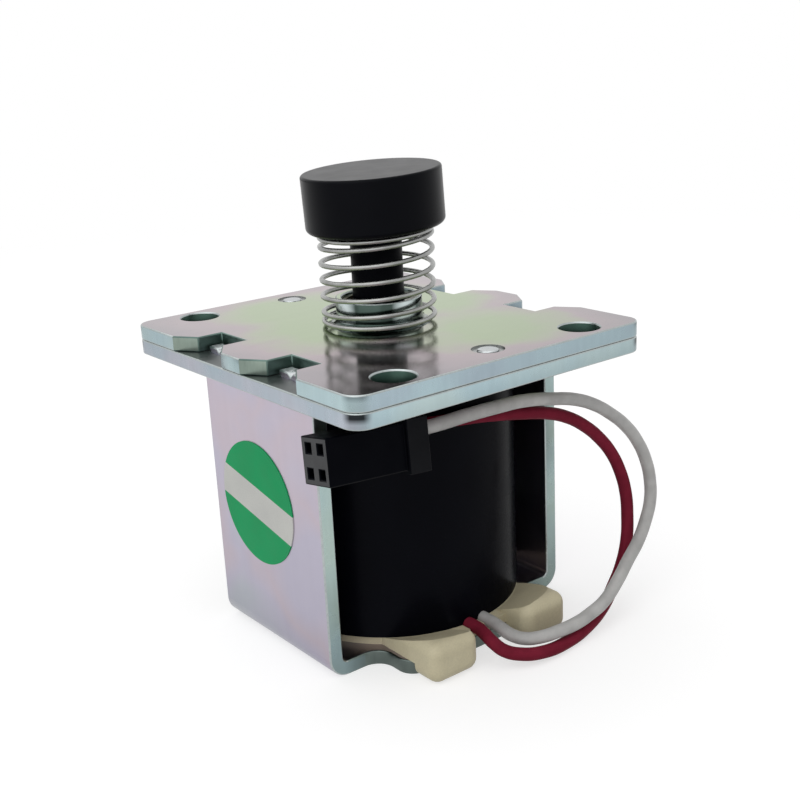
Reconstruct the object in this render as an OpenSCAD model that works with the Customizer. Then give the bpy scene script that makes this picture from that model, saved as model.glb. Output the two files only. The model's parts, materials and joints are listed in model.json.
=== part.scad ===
// Gas solenoid valve: a sealing disc on a sprung plunger, pulled down by a coil under a flanged plate.
// Origin: centre of the flange's top face, on the plunger axis. +Z points to the disc, -Y to the leads.

/* [Flange plates] */
// Length of both plates along X
plate_l = 38; // [36:1:44]
// Width of both plates along Y
plate_w = 42; // [40:1:50]
// Thickness of each plate
plate_t = 1.65; // [1.4:0.05:2.4]
// Radius of the plate corners
plate_corner_r = 2; // [1:0.1:4]
// Distance of the mounting holes from the plate edges along X
hole_inset_x = 6.75; // [5:0.25:8]
// Distance of the mounting holes from the plate edges along Y
hole_inset_y = 3; // [2.6:0.1:4]
// Diameter of the mounting holes
hole_d = 4.3; // [3.2:0.1:4.6]
// Bevel round the top of each mounting hole
hole_bevel = 0.15; // [0.1:0.05:0.5]
// Distance of the two plate rivets from the plate edges along Y
rivet_inset = 3.6; // [2:0.1:4.5]
// Diameter of the rivet shanks
rivet_d = 2.2; // [1.4:0.1:2.4]
// Width of the groove round each rivet
rivet_groove_w = 0.6; // [0.3:0.1:0.8]
// Depth of the groove round each rivet
rivet_groove_h = 0.2; // [0.1:0.05:0.6]
// Height of the drawn collar above the flange
collar_h = 3; // [1:0.1:4]
// Wall of the drawn collar
collar_wall = 0.65; // [0.4:0.05:0.9]
// Radius where the collar rises from the flange
collar_fillet_r = 0.9; // [0.4:0.1:0.9]

/* [Edge notches] */
// Distance between the two notches of an edge along Y
notch_pitch = 13.7; // [12.4:0.1:14.4]
// Width of a notch at the plate edge
notch_mouth_w = 10.2; // [8:0.1:10.8]
// Width of the slot inside a notch
notch_slot_w = 5; // [4.6:0.1:6]
// Depth of the flared mouth
notch_flare = 1.7; // [1:0.1:2]
// Depth of the whole notch
notch_depth = 4.6; // [4.4:0.1:5.4]

/* [Yoke] */
// Gap between the coil and each wall
coil_gap = 0.45; // [0.3:0.05:1.4]
// Width of the walls along Y
yoke_w = 20.6; // [18.6:0.2:22]
// Height of the yoke below the pole plate
yoke_h = 30.1; // [28:0.1:34]
// Thickness of the yoke sheet
yoke_t = 1.6; // [1.2:0.1:1.8]
// Inside radius of the two bends
yoke_bend_r = 0.6; // [0.3:0.1:1]
// Length of each base lobe along X
lobe_l = 20; // [19:0.2:21.4]
// Reach of the base lobes from the axis along Y
lobe_reach = 15.4; // [14.6:0.1:16]
// Radius where a lobe leaves the wall strip
lobe_blend_r = 2; // [1:0.2:2.6]
// Width of each staked tenon
tenon_w = 3.6; // [3:0.1:4]
// Height of a staked tenon above the pole plate
tenon_head_h = 0.6; // [0.3:0.1:1]
// Spread of a staked tenon at each side
tenon_spread = 0.25; // [0.1:0.05:0.4]

/* [Bobbin and coil] */
// Step of the wrap over the bobbin flanges
wrap_step = 0.5; // [0.1:0.05:0.8]
// Thickness of the bobbin flanges
flange_t = 1; // [0.8:0.1:1.4]
// Wall of the bobbin tube
bobbin_wall = 0.9; // [0.6:0.1:1.4]
// Diameter over the insulating wrap
coil_d = 28.6; // [27.5:0.1:29.5]
// Thickness of the insulating wrap
wrap_t = 0.6; // [0.3:0.1:1]
// Gap between the two feet
foot_gap = 6.6; // [5:0.2:7]
// Width of each foot
foot_w = 6.2; // [4.6:0.2:6.6]
// Reach of the feet from the axis
foot_reach = 18.8; // [17:0.1:19.4]
// Height of the feet
foot_h = 4.4; // [3.4:0.1:5]
// Edge radius of the feet
foot_r = 1.3; // [0.3:0.1:1.6]
// Fall of the feet's top towards the coil, in degrees
foot_fall = 22; // [15:1:40]

/* [Magnet core] */
// Inside diameter of the guide tube
tube_bore = 7.2; // [6.6:0.1:7.6]
// Wall of the guide tube
tube_wall = 0.4; // [0.3:0.05:0.5]
// Drop of the guide tube below the collar top
tube_drop = 0.4; // [0.2:0.1:0.8]
// Thickness of the seal ring round the tube
seal_d = 1; // [0.8:0.05:1.1]
// Length of the fixed core inside the yoke
core_l = 13.8; // [11:0.2:15]
// Height of the foot of the fixed core
core_foot_h = 2.5; // [1.6:0.1:3.5]
// Diameter of the staked end of the core
core_spigot_d = 5; // [4:0.1:5.6]
// Thickness of the shim on the core
shim_t = 0.2; // [0.1:0.05:0.4]

/* [Plunger and disc] */
// Travel of the plunger
stroke = 4.5; // [3:0.1:5]
// Radial clearance of the plunger in the tube
plunger_clear = 0.08; // [0.03:0.01:0.1]
// Depth of the plunger top below the flange face
plunger_drop = 1; // [0.4:0.1:2]
// Diameter of the spigot on the plunger
spigot_d = 2.8; // [2:0.1:3.2]
// Length of the spigot on the plunger
spigot_l = 4; // [2:0.2:6]
// Diameter of the stem
stem_d = 5.6; // [5:0.1:6.2]
// Diameter of the stem neck inside the disc
neck_d = 3.2; // [2.4:0.1:3.6]
// Diameter of the stem head
head_d = 6.8; // [5.6:0.1:7.4]
// Thickness of the stem head
head_t = 1.3; // [1:0.1:1.6]
// Diameter of the rubber disc
disc_d = 15; // [14:0.1:16.5]
// Thickness of the rubber disc
disc_t = 6.1; // [5.2:0.1:7]
// Height of the disc underside above the flange
disc_z = 10.4; // [9.6:0.1:12]
// Thickness of the rubber lip under the stem head
disc_lip = 1.6; // [1.2:0.1:1.8]
// Edge radius of the disc's underside
disc_edge_r = 0.6; // [0.3:0.1:1]
// Edge radius of the disc's top
disc_rim_r = 0.3; // [0.2:0.1:0.8]
// Lean of the flexible disc towards -X
disc_lean = 3; // [0:0.5:4]

/* [Return spring] */
// Outside diameter of the spring
spring_d = 12.6; // [12.4:0.1:13.4]
// Diameter of the spring wire
spring_wire = 0.55; // [0.4:0.05:0.6]
// Number of turns
spring_turns = 6.9; // [5.4:0.1:7.4]
// Closed turns at each end
spring_closed = 1.1; // [0.5:0.1:1.2]

/* [Connector] */
// Length of the connector housing
conn_l = 11.4; // [11:0.1:13]
// Width of the connector housing
conn_w = 4.3; // [4.2:0.1:4.8]
// Height of the connector housing
conn_h = 4.6; // [4.5:0.1:5.2]
// Length of the rim at the wire end
rim_l = 2.6; // [1.2:0.1:3]
// Overhang of the rim
rim_out = 0.4; // [0.2:0.05:0.45]
// Distance between the two contacts
contact_pitch = 2; // [1.95:0.05:2.1]
// Size of each contact cavity
cavity_w = 1.65; // [1.6:0.05:1.75]
// Size of the windows in the mating face
window_w = 0.95; // [0.7:0.05:1.1]
// Thickness of the contact sheet
contact_t = 0.2; // [0.15:0.05:0.25]

/* [Leads and label] */
// Diameter of the lead insulation
lead_d = 1.4; // [1.2:0.1:1.45]
// Diameter of the round sticker
sticker_d = 13.6; // [9:0.2:16]
// Thickness of the sticker
sticker_t = 0.1; // [0.05:0.05:0.2]
// Height of the sticker centre below the flange
sticker_drop = 17; // [14:0.5:20]
// Offset of the sticker centre along Y
sticker_y = 1.5; // [0:0.5:2]

/* [Hidden] */
$fn = 64;

// Small fits and margins
fit = 0.05;
press = 0.02;
cut = 1;
ring_sides = 8;
spring_steps = 24;

// Heights of the stack
pole_top = -plate_t;
pole_bottom = -2 * plate_t;
base_bottom = pole_bottom - yoke_h;
base_top = base_bottom + yoke_t;
bobbin_top = pole_bottom - fit;
coil_top = bobbin_top - flange_t - fit;
coil_bottom = base_top + flange_t + fit;
core_top = base_top + core_l;
tube_bottom = base_top + core_foot_h;
tube_top = collar_h - tube_drop;
plunger_bottom = core_top + shim_t + stroke + fit;
plunger_top = -plunger_drop;

// Coil, bobbin flanges and yoke walls round it
flange_d = coil_d - 2 * wrap_step;
yoke_span = coil_d + 2 * (coil_gap + yoke_t);

// Radii round the axis
tube_r = tube_bore / 2;
tube_out_r = tube_r + tube_wall;
collar_bore_r = tube_out_r + fit;
collar_r = collar_bore_r + collar_wall;
bobbin_bore_r = tube_out_r + 3 * fit;
bobbin_tube_r = bobbin_bore_r + bobbin_wall;
plunger_r = tube_r - plunger_clear;
winding_r = coil_d / 2 - wrap_t - fit;
seal_mid_r = tube_out_r + fit + seal_d / 2;
seal_room_r = seal_mid_r + seal_d / 2 + 2 * fit;

// Sealing disc on the stem head
head_z = disc_z + disc_lip + head_d / 2 * sin(disc_lean) + 2 * fit + head_t / 2;
head_gap = head_d / 2 * sin(disc_lean) + 2 * fit;
neck_gap = (head_z - disc_z) * sin(disc_lean) + 2 * fit;
stem_top = disc_z - stem_d / 2 * sin(disc_lean) - 2 * fit;

// Return spring between the flange and the leaning disc
spring_r = (spring_d - spring_wire) / 2;
spring_low = spring_wire / 2 + press;
spring_high = disc_z - spring_wire / 2 - fit;
spring_end_rise = spring_closed * (spring_wire + press);

// Connector: centre of its wire end, and its turn about each axis
conn_at = [-8.2, -15.4, -8];
conn_turn = [-10, 4, -1.5];
contact_z = 1.2;
lead_seat = 1.5;
contact_l = conn_l - cut - lead_seat - fit;

// Leads: outlets in the bobbin and the points that each lead follows to the connector
outlet_x = 1;
outlet_rise = 1;
outlet_z = base_top + outlet_rise;
route_white = [[1, -13.75, -30.8], [1, -15.8, -30.8], [0.8, -17.4, -30.8], [0.8, -19, -31],
    [1.4, -20.4, -31.1], [2.9, -21.3, -31.1], [5, -21.8, -31], [7.4, -22, -30.9], [9.8, -21.9, -30.6],
    [12.3, -21.6, -30.1], [14.8, -21.2, -28.7], [17, -20.7, -27.2], [19.2, -20.3, -25.6],
    [21, -19.8, -23.8], [22.2, -19.4, -21.8], [22.6, -19, -19.6], [22.3, -18.6, -17.2],
    [21.3, -18.2, -14.8], [19.6, -17.9, -12.6], [17.5, -17.6, -10.8], [15.2, -17.4, -9.3],
    [12.4, -17.2, -8.1], [9, -17, -7.3], [5, -17, -6.6], [1, -17, -6.4], [-2.6, -16.8, -6.4],
    [-5.6, -16.4, -6.6], [-8.1, -16.2, -6.6], [-9.6, -16.1, -6.5]];
route_red = [[-1, -13.75, -30.8], [-1, -15.8, -30.8], [-1.4, -17.4, -30.8], [-1.7, -18.9, -31],
    [-1.4, -20.3, -31.5], [-0.2, -21.4, -31.9], [2.6, -22.1, -32.4], [6, -22, -32.6], [9.8, -21.3, -32.5],
    [13.4, -20.3, -31.8], [16.2, -19.3, -30.5], [18.2, -18.7, -28.8], [19.4, -18.4, -26.3],
    [20.1, -17.9, -23.5], [20.2, -17.5, -20.7], [19.6, -17.1, -18], [18.4, -16.8, -15.6],
    [17, -16.5, -13.8], [15, -16.3, -12], [12.3, -16.1, -10.3], [9.4, -15.9, -9.2], [5.8, -15.7, -8.4],
    [2.4, -15.5, -7.8], [-0.8, -15.2, -7.4], [-3.6, -14.8, -7.2], [-6, -14.4, -7.1], [-8.1, -14.2, -7],
    [-9.6, -14.2, -6.9]];

// Flat outlines

module rounded_rect(l, w, r) {
    square([l - 2 * r, w], center = true);
    square([l, w - 2 * r], center = true);
    for (x = [-1, 1], y = [-1, 1]) {
        translate([x * (l / 2 - r), y * (w / 2 - r)])
            circle(r);
    }
}

module tube_section(inner_r, outer_r, low, high) {
    translate([inner_r, low])
        square([outer_r - inner_r, high - low]);
}

module edge_notch() {
    polygon([[cut, -notch_mouth_w / 2], [0, -notch_mouth_w / 2], [-notch_flare, -notch_slot_w / 2],
        [-notch_depth, -notch_slot_w / 2], [-notch_depth, notch_slot_w / 2],
        [-notch_flare, notch_slot_w / 2], [0, notch_mouth_w / 2], [cut, notch_mouth_w / 2]]);
}

// Repeated places

module at_mount_holes() {
    for (x = [-1, 1], y = [-1, 1]) {
        translate([x * (plate_l / 2 - hole_inset_x), y * (plate_w / 2 - hole_inset_y)])
            children();
    }
}

module at_rivets() {
    for (y = [-1, 1]) {
        translate([0, y * (plate_w / 2 - rivet_inset)])
            children();
    }
}

module at_tenons() {
    for (x = [-1, 1], y = [-1, 1]) {
        translate([x * (yoke_span - yoke_t) / 2, y * notch_pitch / 2])
            children();
    }
}

module at_feet() {
    for (x = [-1, 1]) {
        translate([x * (foot_gap + foot_w) / 2, 0])
            children();
    }
}

module at_connector() {
    translate(conn_at)
        rotate(conn_turn)
            children();
}

module at_contacts() {
    for (y = [-1, 1]) {
        translate([0, y * contact_pitch / 2, contact_z])
            children();
    }
}

// Solids used more than once

module soft_block(size, r) {
    core = size - 2 * [r, r, r];
    linear_extrude(core.z, center = true)
        rounded_rect(size.x, size.y, r);
    rotate([90, 0, 0])
        linear_extrude(core.y, center = true)
            rounded_rect(size.x, size.z, r);
    rotate([90, 0, 90])
        linear_extrude(core.x, center = true)
            rounded_rect(size.y, size.z, r);
    for (x = [-1, 1], y = [-1, 1], z = [-1, 1]) {
        translate([x * core.x, y * core.y, z * core.z] / 2)
            sphere(r);
    }
}

// Tube of radius r along the points of a path, with flat ends
function unit(v) = v / norm(v);
function heading(path, i) = unit(path[min(i + 1, len(path) - 1)] - path[max(i - 1, 0)]);
function side_of(d, up) = unit(cross(d, up));
function ring(p, d, up, r) = [for (k = [0:ring_sides - 1])
    let (a = 360 * k / ring_sides, s = side_of(d, up))
    p + r * (cos(a) * s + sin(a) * cross(s, d))];

module swept_tube(path, r, up) {
    last = len(path) - 1;
    points = [for (i = [0:last]) each ring(path[i], heading(path, i), up, r)];
    walls = [for (i = [0:last - 1], k = [0:ring_sides - 1])
        let (a = i * ring_sides, b = a + ring_sides, n = (k + 1) % ring_sides)
        each [[a + k, a + n, b + n], [a + k, b + n, b + k]]];
    start = [for (k = [0:ring_sides - 1]) ring_sides - 1 - k];
    end = [for (k = [0:ring_sides - 1]) last * ring_sides + k];
    polyhedron(points, concat([start], walls, [end]), convexity = 10);
}

// Height of the spring wire's centre after t turns: closed ends, even pitch between
function spring_rise(t) = t < spring_closed
    ? t * (spring_wire + press)
    : t > spring_turns - spring_closed
        ? spring_high - spring_low - (spring_turns - t) * (spring_wire + press)
        : spring_end_rise + (t - spring_closed) / (spring_turns - 2 * spring_closed)
            * (spring_high - spring_low - 2 * spring_end_rise);

// The upper turns lean with the disc
function spring_point(t) = let (x = spring_r * cos(360 * t), rise = spring_rise(t))
    [x, spring_r * sin(360 * t), spring_low + rise + rise / (head_z - spring_low) * x * tan(disc_lean)];

// Plates

module flange_plate() {
    color("#b9c4bd")
    difference() {
        union() {
            translate([0, 0, pole_top])
                linear_extrude(plate_t)
                    difference() {
                        rounded_rect(plate_l, plate_w, plate_corner_r);
                        for (side = [0, 180], y = [-1, 1]) {
                            rotate(side)
                                translate([plate_l / 2, y * notch_pitch / 2])
                                    edge_notch();
                        }
                    }
            rotate_extrude()
                difference() {
                    tube_section(collar_bore_r, collar_r + collar_fillet_r, -plate_t / 2, collar_h);
                    translate([collar_r, collar_fillet_r])
                        square([collar_fillet_r + cut, collar_h]);
                    translate([collar_r + collar_fillet_r, collar_fillet_r])
                        circle(collar_fillet_r);
                }
        }
        translate([0, 0, pole_top - cut])
            cylinder(r = collar_bore_r, h = plate_t + collar_h + 2 * cut);
        at_mount_holes() {
            translate([0, 0, pole_top - cut])
                cylinder(d = hole_d, h = plate_t + 2 * cut);
            translate([0, 0, -hole_bevel])
                cylinder(d1 = hole_d, d2 = hole_d + 4 * hole_bevel, h = 2 * hole_bevel);
        }
        at_rivets() {
            translate([0, 0, pole_top - cut])
                cylinder(d = rivet_d + 2 * press, h = plate_t + 2 * cut);
            translate([0, 0, -rivet_groove_h])
                cylinder(d = rivet_d + 2 * rivet_groove_w, h = rivet_groove_h + cut);
        }
    }
}

module pole_plate() {
    color("#aebcb9")
    difference() {
        translate([0, 0, pole_bottom])
            linear_extrude(plate_t)
                rounded_rect(plate_l, plate_w, plate_corner_r);
        translate([0, 0, pole_bottom - cut])
            cylinder(r = tube_out_r + fit, h = plate_t + 2 * cut);
        translate([0, 0, pole_top - seal_d - 2 * fit])
            cylinder(r = seal_room_r, h = seal_d + cut);
        at_mount_holes()
            translate([0, 0, pole_bottom - cut])
                cylinder(d = hole_d, h = plate_t + 2 * cut);
        at_rivets()
            translate([0, 0, pole_bottom - cut])
                cylinder(d = rivet_d + 2 * press, h = plate_t + 2 * cut);
        at_tenons()
            translate([0, 0, pole_bottom + plate_t / 2])
                cube([yoke_t + 2 * fit, tenon_w + 2 * fit, plate_t + 2 * cut], center = true);
    }
}

module plate_rivets() {
    tail_r = rivet_d * 0.8;
    tail_h = rivet_d * 0.3;
    color("#c9cfd2")
    at_rivets() {
        translate([0, 0, pole_bottom])
            cylinder(d = rivet_d, h = 2 * plate_t);
        translate([0, 0, pole_bottom - tail_h])
            cylinder(r1 = tail_r * 0.6, r2 = tail_r, h = tail_h);
    }
}

// Yoke

module yoke_profile(wall) {
    half = yoke_span / 2 - wall;
    bend = max(yoke_bend_r + yoke_t - wall, yoke_bend_r);
    floor_y = base_bottom + wall;
    translate([-half, floor_y + bend])
        square([2 * half, pole_bottom - floor_y - bend + wall]);
    translate([-half + bend, floor_y])
        square([2 * (half - bend), bend + cut]);
    for (x = [-1, 1]) {
        translate([x * (half - bend), floor_y + bend])
            circle(bend);
    }
}

module base_outline() {
    rounded_rect(lobe_l, 2 * lobe_reach, lobe_blend_r);
    for (x = [0, 1], y = [0, 1]) {
        mirror([x, 0])
            mirror([0, y])
                translate([lobe_l / 2, yoke_w / 2])
                    difference() {
                        translate([-cut, -cut])
                            square(lobe_blend_r + cut);
                        translate([lobe_blend_r, lobe_blend_r])
                            circle(lobe_blend_r);
                    }
    }
}

module staked_tenon() {
    head_w = tenon_w + 2 * tenon_spread;
    translate([0, 0, (pole_bottom + pole_top) / 2])
        cube([yoke_t, tenon_w, plate_t], center = true);
    difference() {
        translate([0, 0, pole_top + tenon_head_h / 2])
            cube([yoke_t, head_w, tenon_head_h], center = true);
        translate([0, 0, pole_top + tenon_head_h])
            rotate([45, 0, 0])
                cube([yoke_t + cut, tenon_head_h, tenon_head_h], center = true);
    }
}

module yoke_frame() {
    color("#b7b4c4")
    difference() {
        union() {
            rotate([90, 0, 0])
                linear_extrude(yoke_w, center = true)
                    difference() {
                        yoke_profile(0);
                        yoke_profile(yoke_t);
                    }
            translate([0, 0, base_bottom])
                linear_extrude(yoke_t)
                    base_outline();
            at_tenons()
                staked_tenon();
        }
        translate([0, 0, base_bottom - cut])
            cylinder(d = core_spigot_d + 2 * press, h = yoke_t + 2 * cut);
    }
}

// Tube, seal and fixed core

module guide_tube() {
    color("#c8b06a")
    rotate_extrude()
        tube_section(tube_r, tube_out_r, tube_bottom, tube_top);
}

module tube_seal() {
    color("#222222")
    rotate_extrude()
        translate([seal_mid_r, pole_top - fit - seal_d / 2])
            circle(d = seal_d);
}

module fixed_core() {
    dimple_r = core_spigot_d * 0.3;
    color("#a8adb0")
    difference() {
        union() {
            translate([0, 0, base_bottom])
                cylinder(d = core_spigot_d, h = yoke_t + cut);
            translate([0, 0, base_top])
                cylinder(r = tube_out_r, h = core_foot_h);
            translate([0, 0, base_top])
                cylinder(r = tube_r - press, h = core_l);
        }
        translate([0, 0, base_bottom - dimple_r * 0.8])
            sphere(dimple_r);
    }
}

module residual_shim() {
    color("#c9a14a")
    translate([0, 0, core_top])
        cylinder(r = tube_r - fit, h = shim_t);
}

// Bobbin and coil

module lead_outlets() {
    inner = coil_d / 2 - cut;
    for (x = [-1, 1]) {
        translate([x * outlet_x, -inner, outlet_z])
            rotate([90, 0, 0])
                cylinder(d = lead_d + 2 * fit, h = lobe_reach + cut - inner);
    }
}

module bobbin_feet() {
    depth = foot_reach - bobbin_tube_r;
    at_feet()
        translate([0, -foot_reach + depth / 2, base_bottom + foot_h / 2])
            soft_block([foot_w, depth, foot_h], foot_r);
    translate([-foot_gap / 2 - foot_r, -lobe_reach, base_top])
        cube([foot_gap + 2 * foot_r, lobe_reach - bobbin_tube_r, flange_t]);
}

module bobbin() {
    fall_r = coil_d / 2 + 2 * fit;
    color("#c9bf9f")
    difference() {
        union() {
            rotate_extrude() {
                tube_section(bobbin_bore_r, bobbin_tube_r, base_top, bobbin_top);
                tube_section(bobbin_bore_r, flange_d / 2, bobbin_top - flange_t, bobbin_top);
                tube_section(bobbin_bore_r, flange_d / 2, base_top, base_top + flange_t);
            }
            difference() {
                bobbin_feet();
                translate([0, 0, base_top + flange_t])
                    cylinder(r1 = fall_r, r2 = fall_r + foot_h / tan(foot_fall), h = foot_h);
                translate([-lobe_l / 2 - cut, -lobe_reach - 2 * fit, base_bottom - cut])
                    cube([lobe_l + 2 * cut, lobe_reach, yoke_t + cut]);
            }
        }
        lead_outlets();
    }
}

module coil_winding() {
    color("#8a4a2a")
    rotate_extrude()
        tube_section(bobbin_tube_r + fit, winding_r, coil_bottom, coil_top);
}

module coil_wrap() {
    color("#141416")
    difference() {
        rotate_extrude()
            tube_section(coil_d / 2 - wrap_t, coil_d / 2, coil_bottom, coil_top);
        lead_outlets();
    }
}

// Plunger, stem and disc

module plunger() {
    color("#9fa4a8") {
        translate([0, 0, plunger_bottom])
            cylinder(r = plunger_r, h = plunger_top - plunger_bottom);
        translate([0, 0, plunger_top])
            cylinder(d = spigot_d, h = spigot_l);
    }
}

module stem() {
    color("#101012")
    difference() {
        union() {
            translate([0, 0, plunger_top])
                cylinder(d = stem_d, h = stem_top - plunger_top);
            translate([0, 0, stem_top])
                cylinder(d = neck_d, h = head_z - stem_top);
            translate([0, 0, head_z - head_t / 2])
                cylinder(d = head_d, h = head_t);
        }
        translate([0, 0, plunger_top - cut])
            cylinder(d = spigot_d + 2 * press, h = spigot_l + cut + fit);
    }
}

module disc_profile() {
    difference() {
        union() {
            square([disc_d / 2 - disc_edge_r, disc_t / 2]);
            translate([0, disc_edge_r])
                square([disc_d / 2, disc_t - disc_edge_r - disc_rim_r]);
            translate([0, disc_t / 2])
                square([disc_d / 2 - disc_rim_r, disc_t / 2]);
            translate([disc_d / 2 - disc_edge_r, disc_edge_r])
                circle(disc_edge_r);
            translate([disc_d / 2 - disc_rim_r, disc_t - disc_rim_r])
                circle(disc_rim_r);
        }
        translate([0, -cut])
            square([neck_d / 2 + neck_gap, disc_lip + 2 * cut]);
        translate([0, head_z - disc_z - head_t / 2 - head_gap])
            square([head_d / 2 + 2 * fit, head_t + 2 * head_gap]);
    }
}

module valve_disc() {
    color("#1b1b1d")
    translate([0, 0, head_z])
        rotate([0, -disc_lean, 0])
            translate([0, 0, disc_z - head_z])
                rotate_extrude()
                    disc_profile();
}

module return_spring() {
    steps = ceil(spring_turns * spring_steps);
    color("#9a9c9c")
    swept_tube([for (i = [0:steps]) spring_point(spring_turns * i / steps)], spring_wire / 2, [0, 0, 1]);
}

// Leads and connector

module lead_red() {
    color("#6e1420")
    swept_tube(route_red, lead_d / 2, [-1, 1, -1]);
}

module lead_white() {
    color("#c9c9c7")
    swept_tube(route_white, lead_d / 2, [-1, 1, -1]);
}

module connector_housing() {
    color("#1e1f21")
    at_connector()
        difference() {
            union() {
                translate([-conn_l, -conn_w / 2, -conn_h / 2])
                    cube([conn_l, conn_w, conn_h]);
                translate([-rim_l, -conn_w / 2 - rim_out, -conn_h / 2 - rim_out])
                    cube([rim_l, conn_w + 2 * rim_out, conn_h + 2 * rim_out]);
            }
            at_contacts() {
                translate([-conn_l + cut, -cavity_w / 2, -cavity_w / 2])
                    cube([conn_l, cavity_w, cavity_w]);
                for (z = [0, -2 * contact_z]) {
                    translate([-conn_l, 0, z])
                        cube([3 * cut, window_w, window_w], center = true);
                }
            }
        }
}

module connector_terminals() {
    outer = cavity_w - 2 * fit;
    inner = outer - 2 * contact_t;
    color("#b8b09a")
    at_connector()
        at_contacts()
            translate([-conn_l + cut, 0, 0])
                difference() {
                    translate([0, -outer / 2, -outer / 2])
                        cube([contact_l, outer, outer]);
                    translate([-cut, -inner / 2, -inner / 2])
                        cube([contact_l * 0.6, inner, inner]);
                }
}

module inspection_sticker() {
    color("#2f9a62")
    translate([-yoke_span / 2 - sticker_t, sticker_y, -sticker_drop])
        rotate([0, 90, 0])
            cylinder(d = sticker_d, h = sticker_t);
}

flange_plate();
pole_plate();
plate_rivets();
yoke_frame();
guide_tube();
tube_seal();
fixed_core();
residual_shim();
bobbin();
coil_winding();
coil_wrap();
plunger();
stem();
valve_disc();
return_spring();
lead_red();
lead_white();
connector_housing();
connector_terminals();
inspection_sticker();
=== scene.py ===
import json
import math

import bmesh
import bpy
from mathutils import Matrix, Vector

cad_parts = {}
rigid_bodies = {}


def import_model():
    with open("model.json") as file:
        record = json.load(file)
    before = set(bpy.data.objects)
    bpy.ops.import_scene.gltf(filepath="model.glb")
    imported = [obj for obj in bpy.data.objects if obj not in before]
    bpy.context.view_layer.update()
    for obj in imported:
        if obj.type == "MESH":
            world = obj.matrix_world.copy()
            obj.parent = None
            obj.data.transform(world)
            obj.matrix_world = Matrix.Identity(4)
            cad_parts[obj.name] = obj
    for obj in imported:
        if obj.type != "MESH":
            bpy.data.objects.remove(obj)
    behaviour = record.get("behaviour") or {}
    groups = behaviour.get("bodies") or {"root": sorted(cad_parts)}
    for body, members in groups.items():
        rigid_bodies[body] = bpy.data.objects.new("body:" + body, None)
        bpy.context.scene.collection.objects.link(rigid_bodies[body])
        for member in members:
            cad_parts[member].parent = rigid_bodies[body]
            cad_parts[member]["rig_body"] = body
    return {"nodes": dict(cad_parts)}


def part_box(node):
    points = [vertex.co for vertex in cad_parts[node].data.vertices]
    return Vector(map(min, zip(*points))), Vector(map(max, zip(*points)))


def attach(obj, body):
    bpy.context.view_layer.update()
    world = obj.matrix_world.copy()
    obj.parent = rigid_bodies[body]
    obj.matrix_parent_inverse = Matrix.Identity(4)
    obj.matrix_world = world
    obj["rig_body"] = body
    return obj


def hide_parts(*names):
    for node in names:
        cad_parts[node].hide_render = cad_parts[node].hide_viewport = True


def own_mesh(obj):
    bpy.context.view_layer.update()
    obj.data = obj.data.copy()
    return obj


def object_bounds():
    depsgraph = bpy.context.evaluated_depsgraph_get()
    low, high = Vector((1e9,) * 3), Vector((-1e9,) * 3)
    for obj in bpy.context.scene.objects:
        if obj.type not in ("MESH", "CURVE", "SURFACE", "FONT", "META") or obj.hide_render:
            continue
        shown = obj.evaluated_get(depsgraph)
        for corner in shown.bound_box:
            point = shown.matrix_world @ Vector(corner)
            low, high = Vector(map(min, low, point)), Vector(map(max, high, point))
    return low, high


MM = 0.001

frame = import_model()
nodes = frame["nodes"]
cad_low, cad_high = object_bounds()

# Camera: place in mm and angles in degrees, for an image of 800 by 800 pixels
CAM_PLACE = Vector((-75.94, -101.55, 30.24))
CAM_AZIMUTH = -37.58
CAM_ELEVATION = 17.23
CAM_ROLL = -2.85
FOCAL_PX = 1191.78
IMAGE_PX = 800
SENSOR_MM = 36.0
CAM_CLIP_M = (0.005, 20)

# Leads: routes in mm from the bobbin to the connector
LEAD_D = 1.4
LEAD_ROUND_STEPS = 6
LEAD_PATH_STEPS = 10
ROUTE_WHITE = [
    (1, -13.75, -30.8), (1, -15.8, -30.8), (0.8, -17.4, -30.8), (0.8, -19, -31),
    (1.4, -20.4, -31.1), (2.9, -21.3, -31.1), (5, -21.8, -31), (7.4, -22, -30.9),
    (9.8, -21.9, -30.6), (12.3, -21.6, -30.1), (14.8, -21.2, -28.7), (17, -20.7, -27.2),
    (19.2, -20.3, -25.6), (21, -19.8, -23.8), (22.2, -19.4, -21.8), (22.6, -19, -19.6),
    (22.3, -18.6, -17.2), (21.3, -18.2, -14.8), (19.6, -17.9, -12.6), (17.5, -17.6, -10.8),
    (15.2, -17.4, -9.3), (12.4, -17.2, -8.1), (9, -17, -7.3), (5, -17, -6.6), (1, -17, -6.4),
    (-2.6, -16.8, -6.4), (-5.6, -16.4, -6.6), (-8.1, -16.2, -6.6), (-9.6, -16.1, -6.5),
]
ROUTE_RED = [
    (-1, -13.75, -30.8), (-1, -15.8, -30.8), (-1.4, -17.4, -30.8), (-1.7, -18.9, -31),
    (-1.4, -20.3, -31.5), (-0.2, -21.4, -31.9), (2.6, -22.1, -32.4), (6, -22, -32.6),
    (9.8, -21.3, -32.5), (13.4, -20.3, -31.8), (16.2, -19.3, -30.5), (18.2, -18.7, -28.8),
    (19.4, -18.4, -26.3), (20.1, -17.9, -23.5), (20.2, -17.5, -20.7), (19.6, -17.1, -18),
    (18.4, -16.8, -15.6), (17, -16.5, -13.8), (15, -16.3, -12), (12.3, -16.1, -10.3),
    (9.4, -15.9, -9.2), (5.8, -15.7, -8.4), (2.4, -15.5, -7.8), (-0.8, -15.2, -7.4),
    (-3.6, -14.8, -7.2), (-6, -14.4, -7.1), (-8.1, -14.2, -7), (-9.6, -14.2, -6.9),
]

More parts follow.
